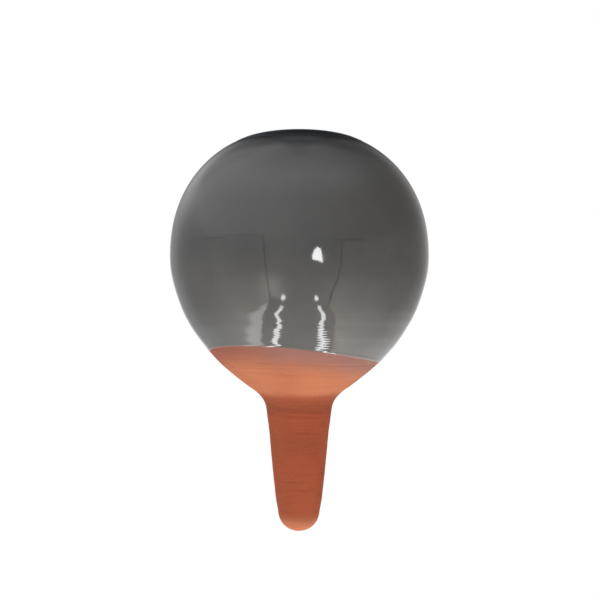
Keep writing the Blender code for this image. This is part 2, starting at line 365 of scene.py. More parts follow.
def skin(name, radius, height, finish, body, node, notes, ring=False):
    """Surface of revolution as a mesh: point (i, j) has radius[i, j] and height[i, j] and lies at the angle
    TURNS[j]. A ring closes from its last row to its first; otherwise both end rows lie on the axis and become
    one point each. Faces are turned outwards by the sign of the enclosed volume. Each note is a number per
    point, which a material reads by its name.
    """
    rows = len(radius)
    points = joined(radius * np.cos(TURNS), radius * np.sin(TURNS), height)
    number = np.arange(rows * SEGMENTS).reshape(rows, SEGMENTS)
    if ring:
        lower, upper = number, np.roll(number, -1, axis=0)
    else:
        number[0], number[-1] = number[0, 0], number[-1, 0]
        lower, upper = number[:-1], number[1:]
    quads = joined(lower, np.roll(lower, -1, axis=1), np.roll(upper, -1, axis=1), upper)
    first = np.concatenate([quads[..., [0, 1, 2]].reshape(-1, 3), quads[..., [0, 2, 3]].reshape(-1, 3)])
    spots = points.reshape(-1, 3)
    a, b, c = spots[first[:, 0]], spots[first[:, 1]], spots[first[:, 2]]
    if np.einsum("ij,ij->", a, np.cross(b, c)) < 0:
        quads = quads[..., ::-1]
    quads = quads.reshape(-1, 4)
    used, renamed = np.unique(quads, return_inverse=True)
    renamed = renamed.reshape(quads.shape)
    repeated = renamed == np.roll(renamed, -1, axis=1)
    whole = renamed[~repeated.any(axis=1)]
    fans = renamed[repeated.any(axis=1)]
    fans = fans[~repeated[repeated.any(axis=1)]].reshape(-1, 3)
    mesh = bpy.data.meshes.new(name)
    mesh.from_pydata(spots[used].tolist(), [], whole.tolist() + fans.tolist())
    mesh.shade_smooth()
    mesh.materials.append(finish)
    piece = bpy.data.objects.new(name, mesh)
    bpy.context.scene.collection.objects.link(piece)
    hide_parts(node)
    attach(piece, body)
    for label, values in notes.items():
        note(piece, label, np.broadcast_to(values, points.shape[:2]).ravel()[used])


def note(piece, name, values):
    """Write one number per vertex, which a material reads by this name."""
    layer = piece.data.attributes.new(name, "FLOAT", "POINT")
    layer.data.foreach_set("value", values.astype(np.float32).ravel())


def clay_vessel(finish):
    """Vessel of one fired body. Outline: from the axis up the inside of the spike and ball, over the shelf,
    mouth and seat, over the lip and down the outside to the axis. Outside and inside carry their turning
    marks.
    """
    inside_wall = np.interp(run(OUTSIDE), FILLET_RUN, [BALL_WALL, SPIKE_WALL])
    inner = moved(OUTSIDE, -inside_wall)
    shelf = SEAT_HEIGHT - SHELF_THICKNESS
    # The samples round the lip give no inside, so only those from 0.3 of the way to the widest level on count
    below = (inner[:, 1] < shelf) & (np.arange(len(inner)) > np.argmax(OUTSIDE[:, 0]) * 0.3)
    inner = inner[below][::-1]
    inner = spaced(inner, np.where(inner[:, 1] > 0, 0.0025, 0.0034))
    inner[0, 0] = 0
    wall_radius = OUTSIDE[0, 0]
    seat = rounded([
        (*inner[-2, :2], 0), (*inner[-1, :2], SOFT_EDGE * 2), (MOUTH_RADIUS, shelf, SOFT_EDGE),
        (MOUTH_RADIUS, SEAT_HEIGHT, SOFT_EDGE), (wall_radius, SEAT_HEIGHT, 0),
    ])
    # Rows lie close at the lip, far apart under the glaze, and close again where the marks are
    height = OUTSIDE[:, 1]
    spacing = np.select(
        [run(OUTSIDE) < 0.0015, height > 0.033, height > -0.003, height > -0.066],
        [0.0002, 0.0042, 0.00043, 0.00054], 0.0006)
    outer = spaced(OUTSIDE, spacing)
    outline = np.concatenate([inner[:-2, :2], seat, outer[:, :2]])
    normals = np.concatenate([inner[:-2, 2:], np.zeros_like(seat), outer[:, 2:]])
    where = np.concatenate([np.full(len(inner) - 2, -1), np.zeros(len(seat)), np.ones(len(outer))])[:, None]
    level, turn = outline[:, 1:], TURNS[None, :]
    relief = np.where(where > 0, clay_relief(level, turn), 0)
    relief = relief + np.where(where < 0, finger_rings(level, turn), 0)
    radius = outline[:, :1] + normals[:, :1] * relief
    radius[0], radius[-1] = 0, 0
    below_dip = np.where(where > 0, dip_level(turn) - level, -AWAY_FROM_DIP)
    skin("clay_vessel_turned", radius, level + normals[:, 1:] * relief, finish,
         "vessel", "clay_vessel", {"below_dip": below_dip})


def clay_relief(height, turn):
    """All that the thrower's hand and tools left on the outside of the clay."""
    fade = off_lip(height) * window(height, -SPIKE_LENGTH, -0.0740)
    free = window(dip_level(turn) - height, 0, 0.0015)
    shared = hand(height) + rings(height, turn) + unround(height, turn)
    return fade * (shared + free * (marks(height, turn) + fine_turning(height, turn)))


def quarter_round(share):
    """Height of a quarter circle of radius 1 that starts at a share of 0 and is level from 1 on."""
    return np.sqrt(np.clip(1 - (1 - np.clip(share, 0, 1)) ** 2, 0, 1))


def glaze_build(above):
    """Glaze's height over the clay by the distance above its edge: a quarter round at the edge, a low bead
    where the glaze ran and stopped, then a slow rise over 16 mm to the full build.
    """
    bead = 0.00007 * bell(above, 0.0014, 0.0009)
    build = DIP_BUILD + (GLAZE_BUILD - DIP_BUILD) * window(above, 0.002, 0.018) + bead
    return LEAST_BUILD + build * quarter_round(above / DIP_ROUND)


def edge_build(length):
    """Glaze's height over the clay by the distance from a sharp edge: thin on it, full past the thin strip,
    and for a negative distance, down the wall behind the edge, thin until a quarter round ends it.
    """
    build = EDGE_BUILD - CORNER_BUILD + (GLAZE_BUILD - EDGE_BUILD) * window(length, 0.0004, EDGE_STRIP)
    return CORNER_BUILD + build * quarter_round((length + EDGE_DRIP) / 0.0005)


def glaze_coat(finish):
    """Glaze from a little way down the seat's wall, over the lip, to the dip line. Each angle has its own
    length of outline, from the wall to where the outside passes the dip level; a negative length is down the
    wall. Rows divide it by the same shares, closer near both edges and where the fine rings are.
    """
    here = run(OUTSIDE)
    falling = OUTSIDE[:, 1] < 0.12
    edge = np.interp(-dip_level(TURNS), -OUTSIDE[falling, 1], here[falling])
    lengths = np.concatenate([
        -EDGE_DRIP * (1 - np.linspace(0, 1, 10) ** 1.6), np.linspace(0, 0.0006, 13)[1:],
        np.linspace(0.0006, 0.0024, 10)[1:], np.linspace(0.0024, edge.min() - 0.026, 98)[1:],
    ])
    near = np.concatenate([np.linspace(0, 0.93, 96)[1:], 1 - 0.07 * np.linspace(1, 0, 16)[1:] ** 1.8])
    rows = np.concatenate([np.broadcast_to(lengths[:, None], (len(lengths), SEGMENTS)),
                           lengths[-1] + (edge - lengths[-1])[None, :] * near[:, None]])
    back = rows[::3][::-1]
    lengths = np.concatenate([rows, back])
    columns = [np.interp(lengths, here, OUTSIDE[:, column]) for column in range(4)]
    outer = np.concatenate([np.ones(len(rows)), np.zeros(len(back))])[:, None]
    front = np.minimum(glaze_build(edge[None, :] - lengths), edge_build(lengths))
    build = np.where(outer > 0, front, BACK_GAP * window(edge - lengths, 0, 0.002))
    columns[1] = columns[1] + np.minimum(lengths, 0)
    level, turn = columns[1], TURNS[None, :]
    offset = build + off_lip(level) * (hand(level) + rings(level, turn) + unround(level, turn))
    notes = {"above_dip": level - dip_level(turn), "from_lip": np.maximum(lengths, 0)}
    skin("glaze_coat_fired", columns[0] + columns[2] * offset, level + columns[3] * offset, finish,
         "vessel", "glaze_coat", notes, ring=True)


def lid_dome(radii):
    """Lid's dome: height falls from the centre by LID_RISE * (radius / SEAM_RADIUS)^LID_FULLNESS."""
    share = radii / SEAM_RADIUS
    fall = LID_RISE * LID_FULLNESS * share ** (LID_FULLNESS - 1) / SEAM_RADIUS
    height = SEAM_HEIGHT + LID_STAND + LID_RISE - LID_RISE * share ** LID_FULLNESS
    return np.hstack([joined(radii, height), unit(joined(fall, 1.0))])


def lid_top():
    """Lid's top from its centre over the rounded edge to the upright side."""
    edge_radius = SEAM_RADIUS - SEAM_GAP / 2 - EDGE_BUILD
    dome = lid_dome(np.linspace(0, SEAM_RADIUS, 4001))
    dome = dome[dome[:, 0] - dome[:, 2] * EDGE_ROUNDING < edge_radius - EDGE_ROUNDING]
    centre = dome[-1, :2] - dome[-1, 2:] * EDGE_ROUNDING
    return np.concatenate([dome, bow(centre, EDGE_ROUNDING, slope(dome, -1), 0.0)[1:]])


LID_TOP = lid_top()


def lid_clay(finish):
    """Lid's body: dome and edge, flange that rests on the seat, hollow collar and its shallow roof."""
    edge = LID_TOP[-1]
    flange, collar_outer = SEAT_HEIGHT + SEAT_GAP, MOUTH_RADIUS - COLLAR_CLEARANCE
    collar_inner, collar_bottom = collar_outer - COLLAR_WALL, SEAT_HEIGHT - COLLAR_DEPTH
    roof = moved(lid_dome(np.linspace(collar_inner - 2 * SOFT_EDGE, 0, 14)), -LID_THICKNESS)
    under = rounded([
        (*edge[:2], 0), (edge[0], flange, SOFT_EDGE / 2), (collar_outer, flange, 0),
        (collar_outer, collar_bottom, SOFT_EDGE), (collar_inner, collar_bottom, SOFT_EDGE),
        (collar_inner, roof[0, 1], SOFT_EDGE), (*roof[0, :2], 0),
    ])
    top = spaced(LID_TOP, np.interp(run(LID_TOP), [0.034, 0.035], [0.002, 0.0002]))
    outline = np.concatenate([top[:-1, :2], under, roof[1:, :2]])
    outline[0, 0] = outline[-1, 0] = 0
    radius, level, turn = outline[:, :1], outline[:, 1:], TURNS[None, :]
    grooves = GROOVE_HEIGHT * np.sin(radius * 2 * np.pi / 0.0021 - turn) * window(radius, 0.002, 0.006)
    in_hollow = (level < flange + 0.0001) & (radius < collar_inner - 0.001)
    skin("lid_clay_turned", radius, level + np.where(in_hollow, grooves, 0), finish,
         "lid", "lid_clay", {"below_dip": -AWAY_FROM_DIP})


def lid_glaze(finish):
    """Glaze on the lid: the top and the upper part of its side, moved out by the glaze's build and, back
    along the clay, by almost nothing.
    """
    edge = LID_TOP[-1]
    side = edge - np.linspace(0, EDGE_DRIP, 25)[1:, None] * np.array([0, 1, 0, 0])
    spacing = np.interp(run(LID_TOP)[-1] - run(LID_TOP), [0.0005, 0.003], [0.00005, 0.0008])
    top = np.concatenate([spaced(LID_TOP, spacing), side])
    back = top[::3][::-1]
    from_edge = run(LID_TOP)[-1] - run(top)
    outline = np.concatenate([moved(top, edge_build(from_edge)), moved(back, LID_BACK_GAP)])[:, :2]
    outline[0, 0] = outline[-1, 0] = 0
    radius, turn = outline[:, :1], TURNS[None, :]
    swirl = 0.000010 * np.sin(radius * 2 * np.pi / 0.0052 - turn) * window(radius, 0.003, 0.010)
    outer = (np.arange(len(outline)) < len(top))[:, None]
    level = outline[:, 1:] + np.where(outer, swirl, 0)
    from_edge = np.maximum(np.concatenate([from_edge, from_edge[::3][::-1]]), 0)[:, None]
    skin("lid_glaze_fired", radius, level, finish,
         "lid", "lid_glaze", {"above_dip": AWAY_FROM_DIP, "from_lip": from_edge})


def linear(code):
    """Linear colour of an sRGB hex code: c / 12.92 up to 0.04045, else ((c + 0.055) / 1.055)^2.4."""
    shares = [int(code[place:place + 2], 16) / 255 for place in (1, 3, 5)]
    return (*[c / 12.92 if c <= 0.04045 else ((c + 0.055) / 1.055) ** 2.4 for c in shares], 1.0)


def add(tree, kind, sockets=None, stops=(), **settings):
    """Outputs of a new shader node: its properties are set, a colour ramp gets its (place, hex code) stops,
    and its sockets are fed, each with a value or from another node's output.
    """
    node = tree.nodes.new("ShaderNode" + kind)
    for name, value in settings.items():
        setattr(node, name, value)
    if stops:
        elements = node.color_ramp.elements
        for element, (place, code) in zip(elements, (stops[0], stops[-1])):
            element.position, element.color = place, linear(code)
        for place, code in stops[1:-1]:
            elements.new(place).color = linear(code)
    for key, value in (sockets or {}).items():
        if isinstance(value, bpy.types.NodeSocket):
            tree.links.new(value, node.inputs[key])
        else:
            node.inputs[key].default_value = value
    return node.outputs


def blank(name):
    """New material with its Principled shader and nothing else changed."""
    made = bpy.data.materials.new(name)
    made.use_nodes = True
    return made, made.node_tree, made.node_tree.nodes["Principled BSDF"]


def lathe_space(tree, around, along):
    """Position for patterns stretched round the axis: (x / r * around, y / r * around, z * along)."""
    place = add(tree, "TexCoord")["Object"]
    flat = add(tree, "VectorMath", {0: place, 1: (1, 1, 0)}, operation="MULTIPLY")[0]
    circle = add(tree, "VectorMath", {0: flat}, operation="NORMALIZE")[0]
    wide = add(tree, "VectorMath", {0: circle, 1: (around, around, 0)}, operation="MULTIPLY")[0]
    tall = add(tree, "VectorMath", {0: place, 1: (0, 0, along)}, operation="MULTIPLY")[0]
    return add(tree, "VectorMath", {0: wide, 1: tall}, operation="ADD")[0]


def terracotta():
    """Low-fired red clay, thrown and turned: matt and porous, with fine broken lines round the axis, light
    and dark grit of 0.3 to 0.8 mm, and a dull pink band where the dip's water soaked in under the glaze.
    """
    made, tree, shader = blank("low_fired_red_clay")
    place = add(tree, "TexCoord")["Object"]
    firing = add(tree, "TexNoise", {"Vector": place, "Scale": 38.0, "Detail": 3.0})["Fac"]
    # Ramps for the spike and for the cone; the cone's paler tone is partly its own and partly painted sheen
    # of light from below
    body, cone_tone_and_painted_sheen = [add(tree, "ValToRGB", {"Fac": firing}, stops)["Color"] for stops in (
        [(0.30, "#984728"), (0.52, "#9f4b2a"), (0.72, "#a5502e")],
        [(0.30, "#a35e3e"), (0.52, "#a96442"), (0.72, "#ae6a47")])]

    # The cone is paler than the spike, partly its own tone and partly painted sheen of light from below, the
    # tip is paler by painted light from below, and the neck is darker by painted shade; noise moves where
    # they meet
    height = add(tree, "SeparateXYZ", {"Vector": place})["Z"]
    slip = add(tree, "TexNoise", {"Vector": lathe_space(tree, 1.5, 300.0), "Scale": 1.0})["Fac"]
    level = add(tree, "Math", {0: slip, 1: 0.0016, 2: height}, operation="MULTIPLY_ADD")[0]
    upper, tip, painted_neck_shade_below, painted_neck_shade_above = [
        add(tree, "MapRange", {"Value": level, "From Min": low, "From Max": high, "To Min": start,
                               "To Max": end}, interpolation_type="SMOOTHSTEP")["Result"]
        for low, high, start, end in ((0.0010, 0.0044, 0.0, 1.0), (-0.0710, -0.0640, 0.9, 0.0),
                                      (-0.0095, -0.0040, 0.0, 1.0), (0.0014, 0.0060, 0.9, 0.0))]
    pale = add(tree, "Math", {0: upper, 1: tip}, operation="MAXIMUM")[0]
    # Band of painted shade round the neck
    neck = add(tree, "Math", {0: painted_neck_shade_below, 1: painted_neck_shade_above}, operation="MULTIPLY")[0]

    # Broken lines round the axis, 1.3 mm apart and finer
    turned = lathe_space(tree, 1.6, 760.0)
    streaks = add(tree, "TexNoise", {"Vector": turned, "Scale": 1.0, "Detail": 3.0, "Roughness": 0.6})["Fac"]
    streak_tone = add(tree, "ValToRGB", {"Fac": streaks}, [
        (0.28, "#b9b0aa"), (0.45, "#f2efec"), (0.62, "#ffffff"), (0.78, "#ffffff")])["Color"]
    # Mixed in: the cone's tone with painted sheen, also on the tip as painted light, then the neck's painted
    # shade, #8e4528
    layers = [("MIX", pale, cone_tone_and_painted_sheen), ("MIX", neck, linear("#8e4528")), ("MULTIPLY", 0.38, streak_tone)]

    # Grit: a few of the cells about 1 mm apart carry a grain
    cells = add(tree, "TexVoronoi", {"Vector": place, "Scale": 900.0}, feature="F1")
    grit = add(tree, "MapRange", {"Value": cells["Distance"], "From Min": 0.05, "From Max": 0.32,
                                  "To Min": 1.0, "To Max": 0.0})["Result"]
    chance = add(tree, "SeparateColor", {"Color": cells["Color"]})["Red"]
    dark_and_light = ("GREATER_THAN", 0.94, 0.45, "#5e3122"), ("LESS_THAN", 0.07, 0.35, "#d69a78")
    for test, limit, strength, code in dark_and_light:
        chosen = add(tree, "Math", {0: chance, 1: limit}, operation=test)[0]
        grain = add(tree, "Math", {0: chosen, 1: grit}, operation="MULTIPLY")[0]
        grain = add(tree, "Math", {0: grain, 1: strength}, operation="MULTIPLY")[0]
        layers.append(("MIX", grain, linear(code)))

    # The soaked band frays out downwards and is redder on the left
    below = add(tree, "Attribute", attribute_name="below_dip")["Fac"]
    wide = lathe_space(tree, 5.0, 120.0)
    frayed = add(tree, "TexNoise", {"Vector": wide, "Scale": 1.0, "Detail": 2.0})["Fac"]
    reach = add(tree, "Math", {0: frayed, 1: -0.004, 2: below}, operation="MULTIPLY_ADD")[0]
    soaked = add(tree, "MapRange", {"Value": reach, "From Min": -0.0010, "From Max": 0.0135, "To Min": 0.85,
                                    "To Max": 0.0}, interpolation_type="SMOOTHSTEP")["Result"]
    near_dip = add(tree, "Math", {0: below, 1: -0.02}, operation="GREATER_THAN")[0]
    soaked = add(tree, "Math", {0: soaked, 1: near_dip}, operation="MULTIPLY")[0]
    across = add(tree, "SeparateXYZ", {"Vector": lathe_space(tree, 1.0, 0.0)})["X"]
    across = add(tree, "MapRange", {"Value": across, "From Min": -1.0})["Result"]
    damp = add(tree, "ValToRGB", {"Fac": across}, [(0.16, "#80493c"), (0.46, "#835d55"), (1.0, "#835f57")])
    layers.append(("MIX", soaked, damp["Color"]))
    for blend, share, tone in layers:
        body = add(tree, "Mix", {"Factor": share, 6: body, 7: tone}, data_type="RGBA",
                   blend_type=blend)[2]
    tree.links.new(body, shader.inputs["Base Color"])

    shader.inputs["Roughness"].default_value = 0.85
    shader.inputs["IOR"].default_value = 1.5
    shader.inputs["Specular IOR Level"].default_value = 0.25
    pores = add(tree, "TexNoise", {"Vector": place, "Scale": 2600.0, "Detail": 2.0})["Fac"]
    rough = add(tree, "Bump", {"Height": pores, "Distance": 0.00003, "Strength": 0.6})["Normal"]
    lines = add(tree, "Bump", {"Height": streaks, "Distance": 0.00016, "Strength": 0.7, "Normal": rough})
    tree.links.new(lines["Normal"], shader.inputs["Normal"])
    return made


def dark_glaze():
    """Dark grey tin and manganese glaze, dipped and fired: glassy, a little uneven in tone, with faint
    specks, an orange-peel ripple of about 2 mm, a thin brown edge where it runs out over the clay, and a
    thin edge at the lip and the lid's edge that is less glossy and darkened by painted shade of the seam.
    """
    made, tree, shader = blank("dark_grey_fired_glaze")
    place = add(tree, "TexCoord")["Object"]
    cloud = add(tree, "TexNoise", {"Vector": place, "Scale": 46.0, "Detail": 4.0})["Fac"]
    body = add(tree, "ValToRGB", {"Fac": cloud}, [
        (0.30, "#424241"), (0.50, "#464645"), (0.72, "#4a4a48")])["Color"]
    cells = add(tree, "TexVoronoi", {"Vector": place, "Scale": 620.0}, feature="F1")
    speck = add(tree, "MapRange", {"Value": cells["Distance"], "From Min": 0.04, "From Max": 0.26,
                                   "To Min": 0.5, "To Max": 0.0})["Result"]
    chance = add(tree, "SeparateColor", {"Color": cells["Color"]})["Green"]
    chosen = add(tree, "Math", {0: chance, 1: 0.90}, operation="GREATER_THAN")[0]
    speck = add(tree, "Math", {0: speck, 1: chosen}, operation="MULTIPLY")[0]
    # Within 0.5 mm of the lip and of the lid's edge, along the seam between lid and vessel: painted shade and
    # a duller surface
    thin, dull_edge_with_painted_shade = [
        add(tree, "MapRange", {"Value": add(tree, "Attribute", attribute_name=name)["Fac"],
                               "From Min": 0.0002, "From Max": far, "To Min": most, "To Max": 0.0},
            interpolation_type="SMOOTHSTEP")["Result"]
        for name, far, most in (("above_dip", 0.0011, 0.85), ("from_lip", 0.0005, 1.0))]
    # 25282b is the painted shade along the seam
    for share, code in ((speck, "#2b2b2b"), (thin, "#6e4a3a"), (dull_edge_with_painted_shade, "#25282b")):
        body = add(tree, "Mix", {"Factor": share, 6: body, 7: linear(code)}, data_type="RGBA")[2]
    tree.links.new(body, shader.inputs["Base Color"])

    patch = add(tree, "TexNoise", {"Vector": place, "Scale": 90.0, "Detail": 2.0})["Fac"]
    gloss = add(tree, "MapRange", {"Value": patch, "From Min": 0.3, "From Max": 0.7, "To Min": 0.05,
                                   "To Max": 0.09})["Result"]
    gloss = add(tree, "Math", {0: dull_edge_with_painted_shade, 1: 0.5, 2: gloss}, operation="MULTIPLY_ADD")[0]
    tree.links.new(gloss, shader.inputs["Roughness"])
    shine = add(tree, "Math", {0: dull_edge_with_painted_shade, 1: -0.35, 2: 0.5}, operation="MULTIPLY_ADD")[0]
    tree.links.new(shine, shader.inputs["Specular IOR Level"])
    shader.inputs["IOR"].default_value = 1.55
    peel = add(tree, "TexNoise", {"Vector": place, "Scale": 420.0, "Detail": 1.0})["Fac"]
    ripple = add(tree, "Bump", {"Height": peel, "Distance": 0.000012, "Strength": 0.5})["Normal"]
    tree.links.new(ripple, shader.inputs["Normal"])
    return made


def stage_surface(name, points, finish, rays):
    """Part of the studio: a grid of points as one smooth mesh, seen only by the named kinds of ray."""
    rows, columns = points.shape[:2]
    number = np.arange(rows * columns).reshape(rows, columns)
    quads = joined(number[:-1, :-1], number[:-1, 1:], number[1:, 1:], number[1:, :-1])
    mesh = bpy.data.meshes.new(name)
    mesh.from_pydata(points.reshape(-1, 3).tolist(), [], quads.reshape(-1, 4).tolist())
    mesh.shade_smooth()
    mesh.materials.append(finish)
    item = bpy.data.objects.new(name, mesh)
    bpy.context.scene.collection.objects.link(item)
    for ray in ("camera", "diffuse", "glossy", "transmission", "volume_scatter", "shadow"):
        setattr(item, "visible_" + ray, ray in rays)
    return item


# The studio, in metres from the ball's middle or above the origin; a brightness of 1 is white
BALL_CENTRE = np.array([0.0, 0.0, 0.082])
TABLE_HEIGHT = -0.40
FLOOR_HEIGHT = -0.45
CLOTH_RADIUS = 1.9
SCREEN_DISTANCE = 1.2
WINDOW_DISTANCE = 1.5
STRIP_LIFT = 0.003
FRAME_BRIGHTNESS = 0.05
BOARD_BRIGHTNESS = 4.9
STRIP_BRIGHTNESS = 12.5
WINDOW_BRIGHTNESS = 18.0

# Brightness of the cloth round the ball and of the screens' white, and how much the white gains downwards,
# each as azimuths in degrees over values
CLOTH_ROUND = (
    [-180, -168, -160, -150, -130, -90, -70, -30, 0, 50, 90, 130, 150, 159, 168, 180],
    [0.03, 0.12, 0.58, 0.98, 1.24, 1.62, 1.72, 1.60, 1.33, 0.97, 0.52, 0.35, 0.41, 0.35, 0.06, 0.03])
WHITE_ROUND = (
    [-180, -160, -140, -120, -109, -90, -72, -45, -20, 20, 30, 42, 60, 90, 122, 140, 152, 180],
    [0.40, 0.46, 0.67, 0.64, 0.73, 0.98, 1.24, 1.08, 1.14, 0.90, 0.80, 0.96, 0.88, 0.62, 0.40, 0.47, 0.61,
     0.40])
GAIN_ROUND = (
    [-180, -150, -130, -100, -60, -38, -16, 16, 36, 60, 140, 180],
    [0.6, 0.45, 0.5, 0.7, 0.8, 0.8, 0.1, 0.1, 0.9, 1.0, 1.0, 0.6])
# Soft glows on the cloth and on the screens' white: amount, azimuth and its reach, elevation and its reach
CLOTH_GLOWS = ((0.33, 80, 45, 54, 16), (0.17, -95, 45, 52, 16))
WHITE_GLOWS = (
    (1.35, -26, 11, -31, 9), (0.15, -52, 26, -36, 9), (0.16, 66, 34, -36, 9), (0.30, 35, 12, -37, 8),
)
# Darker patches on the cloth behind: share taken, side, azimuths where the patch starts and is full, and
# elevations where it starts, is full, starts to fall and ends
CLOTH_SHADES = (
    (0.45, 1, (130, 150), (22, 38, 54, 74)), (0.36, -1, (138, 154), (28, 42, 54, 70)),
    (0.20, -1, (112, 135), (18, 30, 54, 70)),
)


def soft_patch(azimuth, elevation, sides, levels):
    """Patch with soft edges: window over its sides, times a rise and a fall over its four levels."""
    foot, firm, soft, top = levels
    return window(azimuth, *sides) * window(elevation, foot, firm) * window(-elevation, -top, -soft)


def dome_light(azimuth, elevation):
    """Brightness of the studio's cloth by direction, azimuth from the camera's side and positive to the
    right. Above the screens it is brightest on the left, dimmer to the right and nearly black behind, and
    goes over into one level overhead, with a bright panel high in front, one high on each side and one high
    behind. Below the screens' upper edge it is their own white, which rises by the power 1.5 of the
    depression towards the table on both sides. Glows are products of two bells, and far from the camera the
    two parts meet in a wider band.
    """
    turn = np.radians(azimuth)
    up = window(elevation, 44 - 6 * np.cos(turn), 92)
    upper = np.interp(azimuth, *CLOTH_ROUND) * (0.88 + 0.12 * window(elevation, 10, 30)) * (1 - up)
    upper = upper + (1.20 + 0.10 * np.cos(turn)) * up
    upper = upper + 0.5 * ((1 + np.cos(turn + 0.14)) / 2) ** 2 * bell(elevation, 64, 18)
    for amount, middle, reach, level, rise in CLOTH_GLOWS:
        upper = upper + amount * bell(azimuth, middle, reach) * bell(elevation, level, rise)
    for share, side, sides, levels in CLOTH_SHADES:
        upper = upper * (1 - share * soft_patch(side * azimuth, elevation, sides, levels))
    upper = upper + 0.24 * window(np.abs(azimuth), 158, 175) * bell(elevation, 56, 8.5)
    upper = upper * (1 + 0.26 * soft_patch(-azimuth, elevation, (112, 140), (5, 18, 24, 34)))

    gain = 2.4 * np.clip((-elevation - 14) / 50, 0, None) ** 1.5 * np.interp(azimuth, *GAIN_ROUND)
    back_right = window(azimuth, 105, 135) * window(-azimuth, -180, -160) * window(-elevation, 6, 22)
    lower = np.interp(azimuth, *WHITE_ROUND) + gain + 0.27 * back_right
    for amount, middle, reach, level, rise in WHITE_GLOWS:
        lower = lower + amount * bell(azimuth, middle, reach) * bell(elevation, level, rise)
    far = window(np.abs(azimuth), 85, 110)
    share = window(-elevation, -13 - 14 * far, -9 + 6 * far)
    return upper * (1 - share) + lower * share


def lit_surface(name, points, finish, brightness, cover=1.0, tint=0.0):
    """Lit part of the studio that only reflections show; its brightness, cover and tint may vary by point."""
    item = stage_surface(name, points, finish, ("glossy",))
    for label, values in (("brightness", brightness), ("cover", cover), ("tint", tint)):
        note(item, label, np.broadcast_to(values, points.shape[:2]))


def studio_cloth(finish):
    """Cloth all round the ball, a sphere whose brightness is worked out for each vertex. Behind the ball it
    is slightly blue, and low behind as white as the surroundings; low in front and on the right it is
    slightly warm.
    """
    azimuth, elevation = np.meshgrid(np.linspace(-180, 180, 181), np.linspace(-90, 90, 121))
    a, e = np.radians(azimuth), np.radians(elevation)
    way = joined(np.sin(a) * np.cos(e), -np.cos(a) * np.cos(e), np.sin(e))
    low_back = window(np.abs(azimuth), 152, 168) * window(-elevation, -7, -2) * window(elevation, -40, -25)
    cool = window(np.abs(azimuth), 158, 176) * window(-elevation, -80, -60) * window(elevation, 0, 20)
    low = window(-np.abs(azimuth), -135, -60) * window(-elevation, -4, 28)
    right = window(azimuth, 5, 50) * window(-azimuth, -165, -125) * window(-elevation, -60, -25)
    warm = 0.9 * low + 0.45 * right * (1 - low)
    level = dome_light(azimuth, elevation) * (1 + 0.10 * warm)
    lit_surface("studio_cloth", BALL_CENTRE + way * CLOTH_RADIUS, finish, level * (1 - low_back) + low_back,
                tint=warm - cool)


def screens(finish):
    """Dark frames of the two white screens beside the camera: flat bars on a plane that faces the ball from
    an azimuth. Each is a chain of places along the plane, above the ball's middle, with the bar's width
    there.
    """
    bars = {
        "screen_left_edge": (-52, (0.470, 0.280, 0.014), (0.485, 0.210, 0.014), (0.524, -0.156, 0.014),
                             (0.520, -0.60, 0.018), (0.500, -0.95, 0.024)),
        "screen_left_corner": (-52, (-0.95, 0.236, 0.006), (-0.62, 0.224, 0.008), (-0.36, 0.228, 0.006)),
        "screen_left_top": (-52, (-0.34, 0.256, 0.006), (0.02, 0.262, 0.006), (0.47, 0.284, 0.008)),
        "screen_right_edge": (42, (-0.136, 0.214, 0.014), (-0.151, -0.035, 0.016), (-0.150, -0.30, 0.018),
                              (-0.167, -0.557, 0.022), (-0.209, -0.709, 0.028), (-0.240, -0.84, 0.034),
                              (-0.250, -1.00, 0.034)),
        "screen_right_top": (42, (-0.143, 0.207, 0.014), (0.10, 0.208, 0.013), (0.40, 0.211, 0.010)),
    }
    for name, (facing, *chain) in bars.items():
        a = math.radians(facing)
        out, side = np.array([math.sin(a), -math.cos(a), 0]), np.array([math.cos(a), math.sin(a), 0])
        up = np.array([0, 0, 1])
        chain = np.array(chain)
        along = unit(np.gradient(chain[:, :2], axis=0))
        edge = joined(-along[:, 1], along[:, 0]) * chain[:, 2:] / 2
        flat = np.stack([chain[:, :2] - edge, chain[:, :2] + edge], axis=1)
        points = BALL_CENTRE + out * SCREEN_DISTANCE + flat[..., :1] * side + flat[..., 1:] * up
        lit_surface(name, points, finish, FRAME_BRIGHTNESS)


def glowing(name):
    """Finish of a lit part of the studio: it glows at its brightness, white or by its tint from -1 to 1 a
    little blue or warm, and is clear where its cover is 0, all noted at its points.
    """
    made, tree, shader = blank(name)
    tree.nodes.remove(shader)
    level, cover, tint = [add(tree, "Attribute", attribute_name=label)["Fac"]
                          for label in ("brightness", "cover", "tint")]
    tint = add(tree, "Math", {0: tint, 1: 0.5, 2: 0.5}, operation="MULTIPLY_ADD")[0]
    tone = add(tree, "ValToRGB", {"Fac": tint}, [(0.0, "#e4f0ff"), (0.5, "#ffffff"), (1.0, "#fff0e4")])
    glow = add(tree, "Emission", {"Color": tone["Color"], "Strength": level})[0]
    clear = add(tree, "BsdfTransparent")[0]
    mix = add(tree, "MixShader", {0: cover, 1: clear, 2: glow})[0]
    tree.links.new(mix, tree.nodes["Material Output"].inputs["Surface"])
    return made


